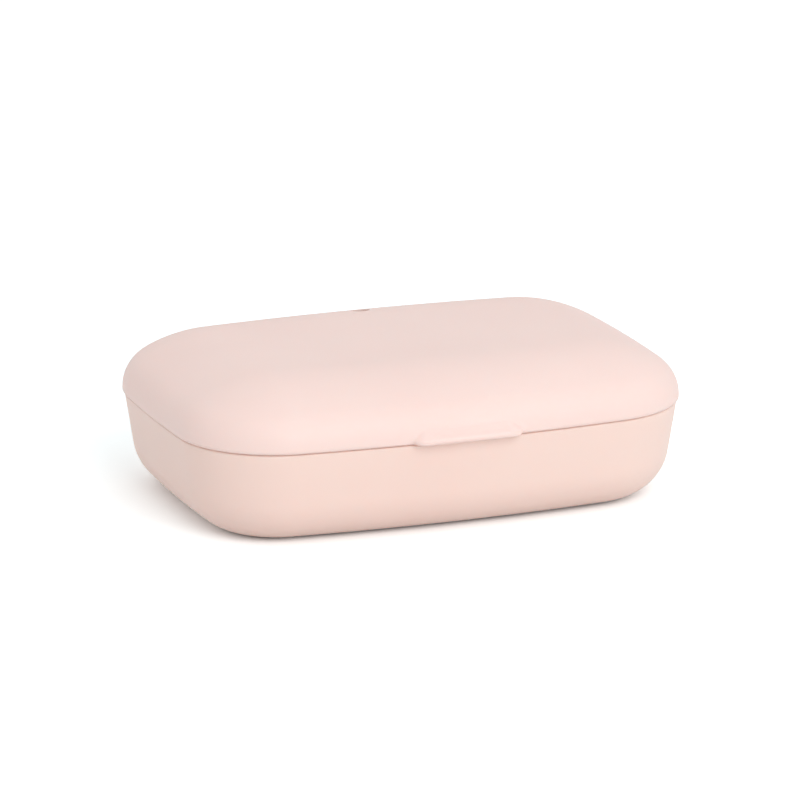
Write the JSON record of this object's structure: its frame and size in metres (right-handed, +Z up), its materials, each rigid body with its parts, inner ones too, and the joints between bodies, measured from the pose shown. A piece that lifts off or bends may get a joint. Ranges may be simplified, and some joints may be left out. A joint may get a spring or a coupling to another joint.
{
  "type": "travel soap box",
  "caption": "Rounded travel soap box: drafted base, hinged domed lid with thumb tab, snap rim and vent, and a slotted tray that lifts out.",
  "frame": {"origin": "centre of the footprint, on the surface the box stands on", "axes": "+X along the length, -Y towards the thumb tab, +Y towards the hinge, +Z up"},
  "size_m": [0.12, 0.0894, 0.036],
  "materials": {
    "shell_plastic": "fine matte moulded polypropylene, pale pink",
    "lid_plastic": "fine matte moulded polypropylene, pale pink",
    "pin_steel": "drawn stainless wire",
    "tray_plastic": "fine matte moulded polypropylene, pale pink"
  },
  "bodies": {
    "base": {"base_shell": "shell_plastic", "hinge_pin": "pin_steel"},
    "lid": {"lid_shell": "lid_plastic"},
    "tray": {"drain_tray": "tray_plastic"}
  },
  "joints": [
    {"name": "lid_hinge", "type": "hinge", "parent": "base", "child": "lid", "pos_m": [0, 0.0427, 0.02235], "axis": [-1, 0, 0], "range_deg": [0, 125]},
    {"name": "tray_lift", "type": "slide", "parent": "base", "child": "tray", "axis": [0, 0, 1], "range_m": [0, 0.022]}
  ]
}
